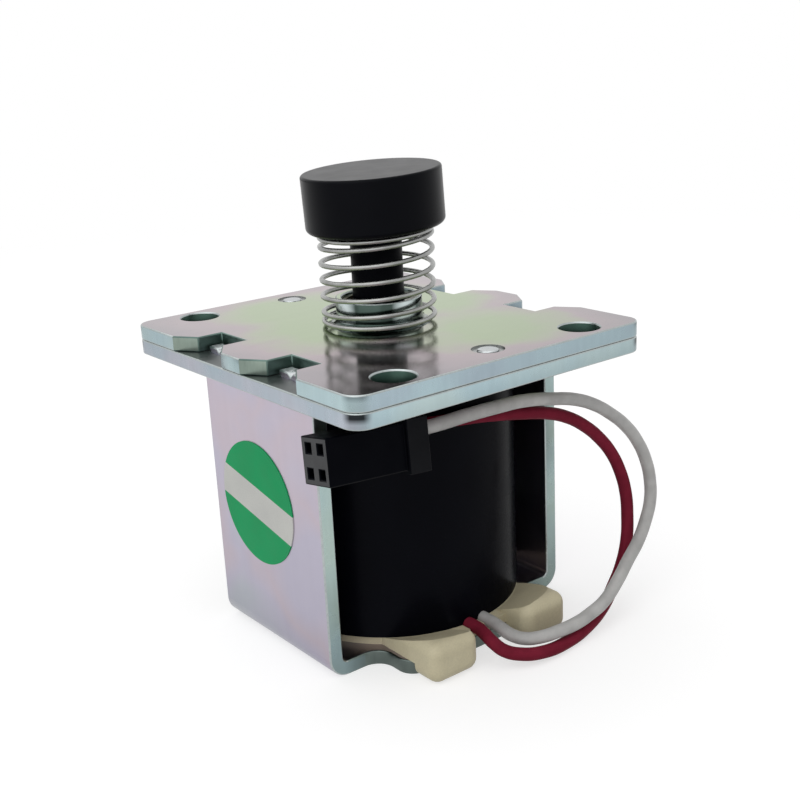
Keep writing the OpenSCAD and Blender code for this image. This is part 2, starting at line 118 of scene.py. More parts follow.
# Return spring in mm, turns counted from its lower end
SPRING_D = 12.6
SPRING_WIRE = 0.55
SPRING_TURNS = 6.9
SPRING_CLOSED = 1.1
SPRING_TOUCH = 0.02
SPRING_LOW = SPRING_WIRE / 2 + SPRING_TOUCH
SPRING_HIGH = 10.075
SPRING_STEPS = 40
SPRING_SIDES = 12
DISC_LEAN = math.radians(3)
DISC_PIVOT_Z = 12.928

# Sticker: width of its pale band in mm, the band's fall towards the front, steps in
# each arc, and the order of its materials
BAND_W = 3.5
BAND_FALL = math.radians(12)
STICKER_STEPS = 48
GREEN, PALE = range(2)


# Materials

# Most of what a noise node gives lies between these two values
NOISE_LOW, NOISE_HIGH = 0.3, 0.7


class Finish:
    """A node material: one shader, and short calls that add nodes to it."""

    def __init__(self, name, **values):
        self.material = bpy.data.materials.new(name)
        self.material.use_nodes = True
        self.tree = self.material.node_tree
        self.shader = self.tree.nodes["Principled BSDF"]
        for key, value in values.items():
            socket = key.replace("_", " ").title().replace("Ior", "IOR")
            self.shader.inputs[socket].default_value = value

    def add(self, kind, **settings):
        node = self.tree.nodes.new(kind)
        for key, value in settings.items():
            setattr(node, key, value)
        return node

    def link(self, output, socket):
        self.tree.links.new(output, socket)

    def place(self, stretch=(1, 1, 1)):
        """The point in the part's frame, in mm, times stretch along each axis."""
        coords = self.add("ShaderNodeTexCoord")
        mapping = self.add("ShaderNodeMapping")
        mapping.inputs["Scale"].default_value = [s / MM for s in stretch]
        self.link(coords.outputs["Object"], mapping.inputs["Vector"])
        return mapping.outputs["Vector"]

    def noise(self, size, detail=2.0, rough=0.5, stretch=(1, 1, 1), twist=0.0):
        """Noise with spots of about that size in mm."""
        node = self.add("ShaderNodeTexNoise")
        node.inputs["Scale"].default_value = 1 / size
        node.inputs["Detail"].default_value = detail
        node.inputs["Roughness"].default_value = rough
        node.inputs["Distortion"].default_value = twist
        self.link(self.place(stretch), node.inputs["Vector"])
        return node.outputs["Fac"]

    def specks(self, size):
        """Distance from the nearest of many scattered points, about size mm apart."""
        node = self.add("ShaderNodeTexVoronoi")
        node.inputs["Scale"].default_value = 1 / size
        self.link(self.place(), node.inputs["Vector"])
        return node.outputs["Distance"]

    def ramp(self, value, stops):
        """A value turned into a colour, by stops of (place, colour)."""
        node = self.add("ShaderNodeValToRGB")
        elements = node.color_ramp.elements
        while len(elements) < len(stops):
            elements.new(1.0)
        for element, (place, colour) in zip(elements, stops):
            element.position = place
            element.color = (*colour, 1)
        self.link(value, node.inputs["Fac"])
        return node.outputs["Color"]

    def blend(self, value, first, second, start=NOISE_LOW, end=NOISE_HIGH):
        """A colour from first to second, as a value goes from start to end."""
        return self.ramp(value, [(start, first), (end, second)])

    def spread(self, value, low, high, start=NOISE_LOW, end=NOISE_HIGH):
        """A value from start to end, turned into one from low to high."""
        node = self.add("ShaderNodeMapRange")
        node.inputs["From Min"].default_value = start
        node.inputs["From Max"].default_value = end
        node.inputs["To Min"].default_value = low
        node.inputs["To Max"].default_value = high
        self.link(value, node.inputs["Value"])
        return node.outputs["Result"]

    def math(self, kind, a, b):
        node = self.add("ShaderNodeMath", operation=kind)
        for socket, value in zip(node.inputs, (a, b)):
            if isinstance(value, (int, float)):
                socket.default_value = value
            else:
                self.link(value, socket)
        return node.outputs["Value"]

    def size_of(self, value):
        """A value without its sign."""
        return self.math("ABSOLUTE", value, 0)

    def tint(self, colour, value, low, high, start=NOISE_LOW, end=NOISE_HIGH):
        """A colour made darker and lighter by a value, between two strengths."""
        node = self.add("ShaderNodeMix", data_type="RGBA", blend_type="MULTIPLY")
        node.inputs["Factor"].default_value = 1.0
        grey = self.blend(value, (low,) * 3, (high,) * 3, start, end)
        self.link(colour, node.inputs["A"])
        self.link(grey, node.inputs["B"])
        return node.outputs["Result"]

    def fade(self, colour, value, low, high, start, end):
        """A colour times low where a value in mm is at start, and high where it is at end."""
        return self.tint(colour, self.spread(value, 0, 1, start, end), low, high, 0, 1)

    def mix(self, value, first, second):
        """One colour that turns into another as a value goes from 0 to 1."""
        node = self.add("ShaderNodeMix", data_type="RGBA")
        self.link(value, node.inputs["Factor"])
        self.link(first, node.inputs["A"])
        self.link(second, node.inputs["B"])
        return node.outputs["Result"]

    def pools(self, centres, reach):
        """Distance from the nearest of a few places on a plate, as a share of reach."""
        flat = self.place((1, 1, 0))
        nearest = None
        for centre in centres:
            node = self.add("ShaderNodeVectorMath", operation="DISTANCE")
            node.inputs[1].default_value = centre
            self.link(flat, node.inputs[0])
            value = node.outputs["Value"]
            nearest = self.math("MINIMUM", nearest, value) if nearest else value
        return self.math("DIVIDE", nearest, reach)

    def part_of(self, vector, axis):
        node = self.add("ShaderNodeSeparateXYZ")
        self.link(vector, node.inputs["Vector"])
        return node.outputs[axis]

    def along(self, axis):
        """How far the point lies along an axis of the part, in mm."""
        return self.part_of(self.place(), axis)

    def facing(self, axis):
        """How far the surface faces along an axis of the part, from 0 to 1."""
        coords = self.add("ShaderNodeTexCoord")
        return self.size_of(self.part_of(coords.outputs["Normal"], axis))

    def colour(self, output):
        self.link(output, self.shader.inputs["Base Color"])

    def roughness(self, output):
        self.link(output, self.shader.inputs["Roughness"])

    def bump(self, *layers):
        """Surface relief from layers of (height value, depth in mm)."""
        normal = None
        for value, depth in layers:
            node = self.add("ShaderNodeBump")
            node.inputs["Distance"].default_value = depth * MM
            self.link(value, node.inputs["Height"])
            if normal:
                self.link(normal, node.inputs["Normal"])
            normal = node.outputs["Normal"]
        self.link(normal, self.shader.inputs["Normal"])


# Colours of passivated zinc: on the plates, on the yoke's walls and on sheared edges
ZINC_GREEN = (0.322, 0.41, 0.232)
ZINC_BEIGE = (0.357, 0.383, 0.28)
ZINC_PINK = (0.380, 0.308, 0.330)
ZINC_LILAC = (0.302, 0.268, 0.290)
WALL_LILAC = (0.475, 0.448, 0.545)
WALL_PINK = (0.51, 0.443, 0.505)
WALL_BLUE = (0.455, 0.475, 0.53)
EDGE_LAVENDER = (0.365, 0.45, 0.505)
EDGE_CYAN = (0.405, 0.53, 0.57)
EDGE_AQUA = (0.46, 0.57, 0.575)
EDGE_SAGE = (0.365, 0.485, 0.505)
EDGE_MINT = (0.41, 0.51, 0.465)
EDGE_LILAC = (0.45, 0.465, 0.525)
EDGE_PALE = (0.445, 0.56, 0.56)

# Places in mm where the passivation of a plate pools green, and how far it reaches
POOLS = [(-6, 3, 0), (-3, 13, 0), (6, -11, 0), (9, 5, 0)]
POOL_REACH = 12.0

# What moves a plate's colour from green to lilac: the distance from a pool, noise in
# large patches, noise in small ones, and the rim from a share of the plate's half sizes
POOL_SHARE = 0.45
PATCH_SHARE = 0.3
FRINGE_SHARE = 0.05
FRINGE_SIZE = 5
RIM_SHARE = 0.12
RIM_FROM = 0.82
PLATE_HALF = {"X": 19.0, "Y": 21.0}

# Painted shade that dulls the plates towards one corner: how far it lies along X less Y in mm, and
# its tone
SHADE_CORNER_REACH = (10, 34)
SHADE_CORNER_TONE = 0.84

# Noise values between which an edge goes from the first of its colours to the second
EDGE_DRIFT = (0.35, 0.65)

# Where a plate's edge turns round a corner, as the product of how it faces X and Y
CORNER_BEND = (0.06, 0.4)

# Where painted shade darkens the edge of the yoke's base, as X in mm to either side
BASE_SHADE_REACH = (11, 14.5)

# How squarely the collar faces an edge of the plate where its painted reflection is dark and where
# bright
REFLECTION_FACING = (0.93, 0.995)

# Grain of bare steel: its size in mm, its tones, and how it is stretched
GRAIN_SIZE = 0.35
GRAIN_TONES = (0.9, 1.05)
EVEN = (1, 1, 1)
ALONG_X = (0.1, 1, 1)
ALONG_Z = (1, 1, 0.1)
ROUND_Z = (0.3, 0.3, 1)

# Rolled streaks and pits of zinc, the marks that the shear leaves on its edges, and the
# skin of mouldings: sizes and depths in mm
STREAK_SIZE = 1.2
STREAK_TONES = (0.985, 1.01)
STREAK_DEPTH = 0.0005
PIT_SPACING = 0.9
PIT_REACH = 0.12
PIT_DEPTH = 0.003
SHEAR_SIZE = 0.6
SHEAR_STRETCH = (1, 1, 0.12)
SHEAR_DEPTH = 0.003
SKIN_SIZE = 0.18
SKIN_TONES = (0.95, 1.04)


def zinc(name, stops, patch, rough, grain, pooled=False, shade_falls=()):
    """Passivated zinc: colours that drift over patches, rolled grain and fine pits.

    Each of shade_falls is a painted shade low on the sheet: a tone, with the height
    in mm where it is reached and where it starts."""
    f = Finish(name, metallic=1.0)
    drift = f.noise(patch, detail=1.5, rough=0.4, twist=0.3)
    if pooled:
        sides = [f.size_of(f.math("DIVIDE", f.along(axis), half))
                 for axis, half in PLATE_HALF.items()]
        rim = f.spread(f.math("MAXIMUM", *sides), 0, RIM_SHARE, RIM_FROM, 1)
        ring = f.math("MULTIPLY", f.pools(POOLS, POOL_REACH), POOL_SHARE)
        fringe = f.spread(f.noise(FRINGE_SIZE, detail=2), -FRINGE_SHARE, FRINGE_SHARE)
        drift = f.math("ADD", f.math("MULTIPLY", drift, PATCH_SHARE), f.math("ADD", ring, rim))
        drift = f.math("ADD", drift, fringe)
    streaks = f.noise(STREAK_SIZE, detail=4, stretch=grain)
    colour = f.tint(f.ramp(drift, stops), streaks, *STREAK_TONES)
    if pooled:
        # Painted shade, darker towards the front right corner of the plate
        corner = f.math("SUBTRACT", f.along("X"), f.along("Y"))
        colour = f.fade(colour, corner, 1, SHADE_CORNER_TONE, *SHADE_CORNER_REACH)
    # Painted shade, darker towards the bottom of the sheet
    for low_tone, *rise in shade_falls:
        colour = f.fade(colour, f.along("Z"), low_tone, 1, *rise)
    f.colour(colour)
    f.roughness(f.spread(f.noise(2.5, detail=5), *rough))
    pits = f.spread(f.specks(PIT_SPACING), 1, 0, start=0, end=PIT_REACH)
    f.bump((streaks, STREAK_DEPTH), (pits, PIT_DEPTH))
    return f.material


def shear_marks(f):
    """Fine upright marks on a sheared edge."""
    return f.noise(SHEAR_SIZE, detail=3, stretch=SHEAR_STRETCH)


def edge_zinc(name, front, side, far, low_shade, corner_shade=None, inner_shade=None):
    """Sheared sheet edge: one pair of colours to the front and one to the sides.

    far is the tone away from the front left corner, with the X plus Y in mm where
    it starts and where it is reached. low_shade is a painted shade low on the front: a
    tone, with the height in mm where it is reached and where it starts. corner_shade
    is a painted dark reflection on the rounded corners, from its first tone above its
    first height to its second tone below its second height, in mm. inner_shade is a
    painted shade near the middle of the part: a tone, with the X in mm, to either
    side, where it is reached and where it starts."""
    f = Finish(name, metallic=1.0)
    marks = shear_marks(f)
    drift = f.noise(9, detail=2)
    to_x, to_y = f.facing("X"), f.facing("Y")
    front_colour, side_colour = (f.blend(drift, *pair, *EDGE_DRIFT) for pair in (front, side))
    # Painted shade, darker low on the front
    low_shade_tone, *low_shade_rise = low_shade
    front_colour = f.fade(front_colour, f.along("Z"), low_shade_tone, 1, *low_shade_rise)
    colour = f.tint(f.mix(to_x, front_colour, side_colour), marks, low=0.96, high=1.02)
    far_tone, *far_reach = far
    colour = f.fade(colour, f.math("ADD", f.along("X"), f.along("Y")), 1, far_tone, *far_reach)
    # Painted shade, darker near the middle of the part
    if inner_shade:
        inner_tone, *inner_reach = inner_shade
        colour = f.fade(colour, f.size_of(f.along("X")), inner_tone, 1, *inner_reach)
    # Painted dark reflection on the rounded corners
    if corner_shade:
        high_tone, low_tone, from_z, to_z = corner_shade
        tone = f.spread(f.along("Z"), low_tone, high_tone, to_z, from_z)
        corner = f.spread(f.math("MULTIPLY", to_x, to_y), 0, 1, *CORNER_BEND)
        shade = f.math("SUBTRACT", 1, f.math("MULTIPLY", corner, f.math("SUBTRACT", 1, tone)))
        colour = f.tint(colour, shade, 0, 1, 0, 1)
    f.colour(colour)
    f.roughness(f.spread(f.noise(1.4, detail=4), low=0.24, high=0.36))
    f.bump((marks, SHEAR_DEPTH))
    return f.material


def painted_reflection_steel(name, light, dark):
    """Drawn collar, with a painted reflection: bright where it faces an edge of the plate, dark
    between.
    """
    f = Finish(name, metallic=1.0)
    lines = f.noise(GRAIN_SIZE, detail=4, stretch=(0.2, 0.2, 1))
    straight = f.math("MAXIMUM", f.facing("X"), f.facing("Y"))
    f.colour(f.tint(f.blend(straight, dark, light, *REFLECTION_FACING), lines, *GRAIN_TONES))
    f.roughness(f.spread(lines, low=0.12, high=0.22))
    f.bump((lines, 0.001))
    return f.material


def shaded_base_steel(name, outer, inner):
    """Edge of the yoke's base, with painted shade that darkens it from the walls towards the
    middle.
    """
    f = Finish(name, metallic=1.0)
    marks = shear_marks(f)
    out = f.spread(f.size_of(f.along("X")), 0, 1, *BASE_SHADE_REACH)
    f.colour(f.tint(f.blend(out, inner, outer, start=0, end=1), marks, low=0.92, high=1.02))
    f.roughness(f.spread(f.noise(1.4, detail=4), low=0.28, high=0.4))
    f.bump((marks, SHEAR_DEPTH))
    return f.material


def steel(name, light, dark, rough, grain, relief=0.002):
    """Bare steel with a drawn or turned grain."""
    f = Finish(name, metallic=1.0)
    lines = f.noise(GRAIN_SIZE, detail=4, stretch=grain)
    f.colour(f.tint(f.blend(f.noise(3, detail=3), dark, light), lines, *GRAIN_TONES))
    f.roughness(f.spread(lines, *rough))
    f.bump((lines, relief))
    return f.material


def moulded(name, light, dark, rough, specular, patch=3.0, relief=0.004, **values):
    """Moulded plastic or rubber: a fine skin, faint cloudiness and uneven gloss."""
    f = Finish(name, specular_ior_level=specular, **values)
    skin = f.noise(SKIN_SIZE, detail=3)
    f.colour(f.tint(f.blend(f.noise(patch, detail=4), dark, light), skin, *SKIN_TONES))
    f.roughness(f.spread(f.noise(patch * 0.6, detail=5), *rough))
    f.bump((skin, relief))
    return f.material


def wrap_film(name, light, dark):
    """Glossy black film over the winding, which shows faint waves of the turns under it."""
    f = Finish(name, specular_ior_level=0.012, coat_weight=0.06, coat_roughness=0.42)
    waves = f.noise(2.2, detail=2, stretch=(0.5, 0.5, 1))
    ripple = f.noise(0.5, detail=2, stretch=(0.12, 0.12, 1))
    f.colour(f.blend(f.noise(6, detail=3), dark, light))
    f.roughness(f.spread(f.noise(3, detail=4), low=0.22, high=0.32))
    f.bump((waves, 0.03), (ripple, 0.006))
    return f.material


def lead_skin(name, light, dark, smudge, gloss):
    """Lead insulation: soft gloss, with smudges from handling."""
    f = Finish(name, specular_ior_level=gloss)
    base = f.blend(f.noise(5, detail=4, rough=0.6), dark, light, start=0.35)
    f.colour(f.tint(base, f.noise(1.6, detail=3), low=smudge, high=1.02))
    f.roughness(f.spread(f.noise(0.8, detail=3), low=0.32, high=0.46))
    f.bump((f.noise(0.5, detail=2), 0.006))
    return f.material


def vinyl(name, light, dark):
    """Printed sticker face: even colour with fine print grain under a thin film."""
    f = Finish(name, specular_ior_level=0.06)
    grain = f.noise(0.12, detail=2)
    f.colour(f.tint(f.blend(f.noise(4, detail=3), dark, light), grain, *SKIN_TONES))
    f.roughness(f.spread(f.noise(2, detail=3), low=0.38, high=0.5))
    f.bump((f.noise(3, detail=2), 0.01))
    return f.material


PLATE_STOPS = [(0.33, ZINC_GREEN), (0.44, ZINC_BEIGE), (0.56, ZINC_PINK), (0.84, ZINC_LILAC)]
WALL_STOPS = [(0.30, WALL_LILAC), (0.45, WALL_PINK), (0.58, WALL_LILAC), (0.72, WALL_BLUE)]
SOFT_SHINE = {"coat_weight": 1.0, "coat_ior": 1.11, "coat_roughness": 0.35}
TURNED = ((0.56, 0.57, 0.58), (0.46, 0.47, 0.48), (0.2, 0.32), (0.2, 0.2, 2))

flange_zinc = zinc("zinc_flange", PLATE_STOPS, 15, (0.105, 0.16), grain=ALONG_X, pooled=True)
pole_zinc = zinc("zinc_pole", PLATE_STOPS, 12, (0.2, 0.28), grain=ALONG_X, pooled=True)
# The yoke's walls take painted shade towards the base
yoke_zinc = zinc(
    "zinc_yoke", WALL_STOPS, 11, (0.28, 0.36), grain=ALONG_Z,
    shade_falls=[(0.84, -33, -6), (0.86, -32.5, -27)],
)
flange_edge = edge_zinc(
    "zinc_flange_edge", (EDGE_LAVENDER, EDGE_CYAN), (EDGE_PALE, EDGE_CYAN),
    far=(0.80, -38, -2), low_shade=(0.97, -1.6, -0.2), corner_shade=(0.4, 0.78, -0.2, -0.7),
)
pole_edge = edge_zinc(
    "zinc_pole_edge", (EDGE_CYAN, EDGE_AQUA), (EDGE_LILAC, EDGE_LAVENDER),
    far=(0.84, -38, -2), low_shade=(0.88, -3.1, -2.0), corner_shade=(0.05, 0.75, -2.2, -2.75),
)
yoke_edge = edge_zinc(
    "zinc_yoke_edge", (EDGE_MINT, EDGE_SAGE), (EDGE_MINT, EDGE_SAGE),
    far=(0.83, -26, 5), low_shade=(0.6, -33, -21), inner_shade=(0.6, 12.2, 14.6),
)
flare_zinc = steel(
    "zinc_flare", (0.255, 0.31, 0.265), (0.215, 0.27, 0.235), (0.3, 0.4), (1, 1, 0.2),
)
tenon_bright = steel("zinc_tenon", (0.80, 0.82, 0.83), (0.68, 0.70, 0.72), (0.3, 0.4), EVEN)
worn_edge = steel("zinc_worn_edge", (0.43, 0.47, 0.47), (0.36, 0.40, 0.40), (0.26, 0.36), EVEN)
# Painted shade: the walls of the holes are dark, as they lie in shade
bore_shade = steel("zinc_bore", (0.050, 0.090, 0.073), (0.030, 0.060, 0.049), (0.35, 0.5), ROUND_Z)
# Painted shade on the walls and rounded edges of the notches on the left side
notch_shade = steel("zinc_notch", (0.135, 0.20, 0.18), (0.09, 0.14, 0.125), (0.35, 0.5), ROUND_Z)
# Painted shade on the pole plate's top, where the flange hangs over it
notch_floor_shade = steel(
    "zinc_notch_floor", (0.175, 0.185, 0.185), (0.135, 0.145, 0.145), (0.3, 0.4), ROUND_Z,
)
base_edge_shade = shaded_base_steel("zinc_base_edge", (0.22, 0.285, 0.265), (0.115, 0.14, 0.13))
groove_zinc = steel("zinc_groove", (0.40, 0.41, 0.405), (0.34, 0.35, 0.345), (0.3, 0.4), EVEN)
# The collar's bright and dark bands are a painted reflection
collar_painted_reflection = painted_reflection_steel("zinc_collar_painted_reflection", (0.60, 0.68, 0.68), (0.055, 0.08, 0.07))
rivet_bright = steel("rivet_steel", (0.52, 0.545, 0.555), (0.43, 0.455, 0.465), (0.2, 0.3), EVEN)
spring_bright = steel(
    "spring_steel", (0.38, 0.385, 0.375), (0.26, 0.265, 0.26), (0.22, 0.34), ROUND_Z,
)
core_turned = steel("core_steel", *TURNED)
plunger_turned = steel("plunger_steel", *TURNED)
tube_drawn = steel("brass_tube", (0.26, 0.23, 0.14), (0.17, 0.16, 0.10), (0.26, 0.4), ALONG_Z)
shim_rolled = steel("brass_shim", (0.68, 0.56, 0.32), (0.58, 0.46, 0.25), (0.18, 0.28), ALONG_X)
contact_tin = steel(
    "tinned_brass", (0.62, 0.60, 0.54), (0.5, 0.48, 0.42), (0.2, 0.34), (0.2, 1, 1),
)
copper_turns = steel(
    "copper_wire", (0.55, 0.26, 0.13), (0.38, 0.17, 0.08), (0.25, 0.4), (0.1, 0.1, 6), relief=0.02,
)
disc_rubber = moulded(
    "disc_rubber", (0.0022, 0.0026, 0.0043), (0.0013, 0.0016, 0.0031), (0.34, 0.42), 0.02,
    patch=4.0, relief=0.0015, **SOFT_SHINE,
)
stem_plastic = moulded(
    "stem_plastic", (0.0020, 0.0022, 0.0038), (0.0011, 0.0013, 0.0026), (0.3, 0.4), 0.03,
)
seal_rubber = moulded(
    "seal_rubber", (0.022, 0.022, 0.022), (0.014, 0.014, 0.014), (0.4, 0.55), 0.35,
)
housing_black = moulded(
    "connector_plastic", (0.0022, 0.0026, 0.0043), (0.0012, 0.0015, 0.0030), (0.4, 0.52), 0.025,
)
# Painted light: the end face is lighter, as it faces the light from the left
housing_end_lit = moulded(
    "connector_end_lit", (0.074, 0.075, 0.078), (0.060, 0.061, 0.064), (0.42, 0.55), 0.10,
)
housing_rim = moulded(
    "connector_rim", (0.0120, 0.0125, 0.0145), (0.0085, 0.0090, 0.0105), (0.4, 0.5), 0.03,
)
# Painted highlight along the rounded lower edge of the connector body
housing_low_highlight = moulded(
    "connector_low_highlight", (0.012, 0.0125, 0.014), (0.007, 0.0075, 0.0085), (0.4, 0.5), 0.05,
)
bobbin_nylon = moulded("beige_nylon", (0.67, 0.61, 0.425), (0.60, 0.54, 0.37), (0.36, 0.5), 0.25)
film_black = wrap_film("black_wrap", (0.0015, 0.0018, 0.0038), (0.0007, 0.0009, 0.0024))
red_skin = lead_skin("red_pvc", (0.245, 0.022, 0.046), (0.185, 0.016, 0.033), 0.84, 0.02)
white_skin = lead_skin("white_pvc", (0.59, 0.585, 0.57), (0.465, 0.46, 0.45), 0.84, 0.25)
vinyl_green = vinyl("green_sticker", (0.016, 0.360, 0.128), (0.014, 0.325, 0.112))
vinyl_pale = vinyl("pale_sticker", (0.64, 0.645, 0.61), (0.58, 0.585, 0.56))


# Making pieces

# Corners closer than WELD are one, and edges that turn less than FLAT are dropped. Edges
# that turn more than SHARP are rounded. Faces from BROAD on in area are shaded flat
WELD = 0.001 * MM
FLAT = math.radians(0.5)
SHARP = math.radians(38)
BROAD = 6 * MM * MM
BEVEL_STEPS = 3


def put(name, data):
    """A new object in the scene, made of that data."""
    made = bpy.data.objects.new(name, data)
    bpy.context.scene.collection.objects.link(made)
    return made


def piece(name, mesh, body, slot, node, *materials):
    """A new mesh object that rides on a body and stands for a CAD node."""
    made = put(name, mesh)
    for material in materials:
        mesh.materials.append(material)
    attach(made, body)
    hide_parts(node)
    return made


def welded(node):
    """A copy of a CAD node's mesh with joined corners and whole flat faces."""
    bm = bmesh.new()
    bm.from_mesh(nodes[node].data)
    bmesh.ops.remove_doubles(bm, verts=bm.verts, dist=WELD)
    bmesh.ops.dissolve_limit(bm, angle_limit=FLAT, verts=bm.verts, edges=bm.edges)
    bm.normal_update()
    return bm


def softened(node, slot, radius, materials, pick=None, bend=None, crisp=None):
    """A CAD node with rounded edges, apart from those at a place that crisp accepts.

    pick gives a face's material by its normal and its middle in mm, and bend gives
    that of a rounded edge by its middle."""
    bm = welded(node)
    sharp = []
    for edge in bm.edges:
        middle = (edge.verts[0].co + edge.verts[1].co) / 2 / MM
        if edge.calc_face_angle(0) > SHARP and not (crisp and crisp(middle)):
            sharp.append(edge)
    for face in bm.faces:
        bends = any(FLAT < edge.calc_face_angle(0) < SHARP for edge in face.edges)
        face.smooth = bends and face.calc_area() < BROAD
        face.material_index = pick(face.normal, face.calc_center_median() / MM) if pick else 0
    rounded = bmesh.ops.bevel(
        bm, geom=sharp, offset=radius * MM, offset_type="OFFSET",
        profile_type="SUPERELLIPSE", profile=0.5, segments=BEVEL_STEPS, affect="EDGES",
        clamp_overlap=False, loop_slide=False, material=-1,
    )
    for face in rounded["faces"]:
        face.smooth = True
        if bend:
            face.material_index = bend(face.calc_center_median() / MM)
    mesh = bpy.data.meshes.new(node + "_soft")
    bm.to_mesh(mesh)
    bm.free()
    piece(node + "_soft", mesh, nodes[node]["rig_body"], slot, node, *materials)


def dress(node, material):
    """A CAD node that keeps its shape and takes a finish."""
    mesh = nodes[node].data
    mesh.materials.clear()
    mesh.materials.append(material)
    for polygon in mesh.polygons:
        polygon.material_index = 0


def lead(name, route, material, node):
    """A lead along its route, as one smooth round cord."""
    curve = bpy.data.curves.new(name, "CURVE")
    curve.dimensions = "3D"
    curve.bevel_depth = LEAD_D / 2 * MM
    curve.bevel_resolution = LEAD_ROUND_STEPS
    curve.resolution_u = LEAD_PATH_STEPS
    curve.use_fill_caps = True
    spline = curve.splines.new("BEZIER")
    spline.bezier_points.add(len(route) - 1)
    for point, place in zip(spline.bezier_points, route):
        point.co = Vector(place) * MM
        point.handle_left_type = "AUTO"
        point.handle_right_type = "AUTO"
    curve.materials.append(material)
    made = put(name, curve)
    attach(made, "valve_body")
    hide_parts(node)


# Camera

def make_camera():
    azimuth, elevation, roll = (math.radians(a) for a in (CAM_AZIMUTH, CAM_ELEVATION, CAM_ROLL))
    level = math.cos(elevation)
    back = Vector((math.sin(azimuth) * level, -math.cos(azimuth) * level, math.sin(elevation)))
    right = Vector((math.cos(azimuth), math.sin(azimuth), 0))
    up = back.cross(right)
    across = math.cos(roll) * right + math.sin(roll) * up
    upward = math.cos(roll) * up - math.sin(roll) * right
    data = bpy.data.cameras.new("camera")
    data.sensor_fit = "HORIZONTAL"
    data.sensor_width = SENSOR_MM
    data.lens = FOCAL_PX / IMAGE_PX * SENSOR_MM
    data.clip_start, data.clip_end = CAM_CLIP_M
    camera = put("camera", data)
    turn = Matrix((across, upward, back)).transposed()
    camera.matrix_world = Matrix.Translation(CAM_PLACE * MM) @ turn.to_4x4()
    bpy.context.scene.camera = camera


make_camera()

# Connector and leads

# Order of the housing's materials, and places on it in mm
BODY, END, RIM, LOW_EDGE = range(4)
HOUSING_ROUND = 0.12
END_TURN = 0.9
END_X = -19
RIM_X = -10.5
CORD_END = (-8.2, -16, -8)
HOUSING_RISE = 0.07
LOW_EDGE_DROP = 1.5


def housing_side(normal, middle):
    # The end face takes the painted light
    if normal.x < -END_TURN and middle.x < END_X:
        return END
    return RIM if middle.x > RIM_X else BODY


def housing_bend(middle):
    """Only the body's lower edge takes a painted highlight."""
    if middle.x > RIM_X:
        return RIM
    axis_z = CORD_END[2] + (CORD_END[0] - middle.x) * HOUSING_RISE
    in_front = middle.y < CORD_END[1]
    return LOW_EDGE if in_front and middle.z < axis_z - LOW_EDGE_DROP else BODY


softened(
    "connector_housing", "connector_plastic", HOUSING_ROUND,
    [housing_black, housing_end_lit, housing_rim, housing_low_highlight], housing_side, housing_bend,
)
dress("connector_terminals", contact_tin)
lead("lead_white_cord", ROUTE_WHITE, white_skin, "lead_white")
lead("lead_red_cord", ROUTE_RED, red_skin, "lead_red")

# Plates and yoke

# Radius of the rounded edges, and places on the sheet pieces, in mm
PLATE_ROUND = 0.14
RIVET_ROUND = 0.15
YOKE_ROUND = 0.16
HOLE_AT = (12.25, 18.0)
HOLE_RIM_R = 2.6
RIVET_AT = (0, 17.4)
GROOVE_RIM_R = 1.8
COLLAR_RIM_R = 5.65
NOTCH_FROM = 14.3
NOTCH_FLARE = 17.25
NOTCH_RIM = 18.8
TENON_Z = -1.64
BASE_TOP = -31.7
BEND_FROM = 14
BEND_RISE = 0.2

# How much of a face's normal lies along Z, or along Y, where the face counts as upright,
# as level, as a flare of a notch, and as an edge of the yoke
UPRIGHT = 0.5
LEVEL = 0.999
FLARE_TURN = 0.3
EDGE_TURN = 0.2

# Order of the materials of flange, pole plate and yoke, which share the first three
FACE, EDGE, WORN = range(3)
BORE, COLLAR, FLARE, GROOVE, NOTCH = range(3, 8)
FLOOR = 4
TENON, BASE_EDGE = 3, 4


def upright(normal):
    return abs(normal.z) < UPRIGHT


def in_hole(middle):
    return math.dist((abs(middle.x), abs(middle.y)), HOLE_AT) < HOLE_RIM_R


def in_groove(middle):
    return math.dist((abs(middle.x), abs(middle.y)), RIVET_AT) < GROOVE_RIM_R


def in_notch(middle):
    return abs(middle.x) > NOTCH_FROM and abs(middle.y) < NOTCH_FROM


def at_rim(middle):
    return in_hole(middle) or in_groove(middle)


def flange_face(normal, middle):
    if in_groove(middle):
        return GROOVE
    if in_hole(middle):
        return BORE if upright(normal) else WORN
    if math.hypot(middle.x, middle.y) < COLLAR_RIM_R and abs(normal.z) < LEVEL:
        return COLLAR
    if not upright(normal):
        return FACE
    if in_notch(middle):
        if abs(middle.x) < NOTCH_FLARE:
            # Walls of the left notches take the painted shade
            return NOTCH if middle.x < 0 else EDGE
        if abs(normal.y) > FLARE_TURN:
            return FLARE
    return EDGE


def flange_bend(middle):
    # Rounded edges in the left notches take the painted shade
    return NOTCH if in_notch(middle) and middle.x < 0 and abs(middle.x) < NOTCH_RIM else WORN


def pole_face(normal, middle):
    if upright(normal):
        return BORE if at_rim(middle) else EDGE
    return FLOOR if normal.z > 0 else FACE


def pole_bend(middle):
    return WORN


def yoke_face(normal, middle):
    if middle.z > TENON_Z:
        return TENON
    # The front of the base between the walls takes the painted shade
    if middle.z < BASE_TOP and abs(middle.x) < BEND_FROM and upright(normal):
        return BASE_EDGE
    return EDGE if abs(normal.y) > EDGE_TURN else FACE


def yoke_bend(middle):
    # The base's rounded edge between the walls takes the painted shade too
    return BASE_EDGE if middle.z < BASE_TOP + BEND_RISE and abs(middle.x) < BEND_FROM else WORN


